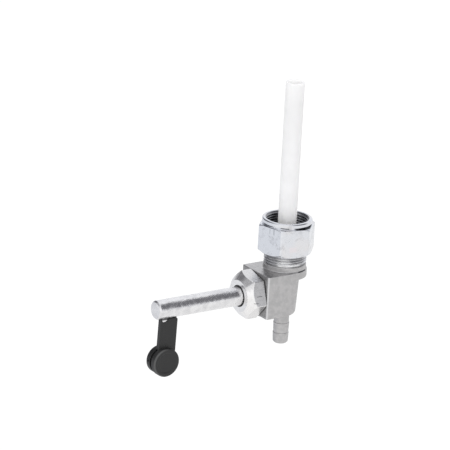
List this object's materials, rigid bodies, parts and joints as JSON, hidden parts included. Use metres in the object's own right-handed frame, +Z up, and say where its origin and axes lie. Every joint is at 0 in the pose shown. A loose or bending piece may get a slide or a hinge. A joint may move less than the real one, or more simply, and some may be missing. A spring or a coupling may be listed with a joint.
{
  "type": "fuel tap",
  "caption": "Fuel tap with a coupling nut for a tank neck, an upright standpipe, a hose barb below, and a long spindle turned by a black lever.",
  "frame": {"origin": "centre of the coupling nut's open mouth, where the tank's neck enters", "axes": "+Z up the thread axis and the standpipe, the spindle points along -X, the lever hangs along -Z"},
  "size_m": [0.0683, 0.0212, 0.1051],
  "materials": {
    "cast_alloy": "as cast, satin grey",
    "bright_plate": "bright plated",
    "turned_bright": "turned and plated",
    "plated_steel": "satin plated",
    "spring_steel": "oiled",
    "white_nylon": "translucent white",
    "black_rubber": "matt",
    "grey_fibre": "pressed fibre",
    "black_plastic": "moulded, satin black"
  },
  "bodies": {
    "tap": {"tap_body": "cast_alloy", "standpipe": "white_nylon", "tank_washer": "black_rubber", "gland_nut": "turned_bright", "gland_washer": "grey_fibre", "stem_seal": "black_rubber", "thrust_washer": "plated_steel", "disc_spring": "spring_steel", "stop_pin": "plated_steel"},
    "spindle": {"spindle": "plated_steel", "inner_o_ring": "black_rubber", "outer_o_ring": "black_rubber", "lever_blade": "plated_steel", "lever_grip": "black_plastic"},
    "coupling_nut": {"coupling_nut": "bright_plate"}
  },
  "joints": [
    {"name": "spindle_turn", "type": "hinge", "parent": "tap", "child": "spindle", "pos_m": [-0.03, 0, -0.0277], "axis": [-1, 0, 0], "range_deg": [0, 180]},
    {"name": "coupling_nut_turn", "type": "hinge", "parent": "tap", "child": "coupling_nut", "pos_m": [0, 0, -0.00665], "axis": [0, 0, 1], "continuous": true}
  ]
}
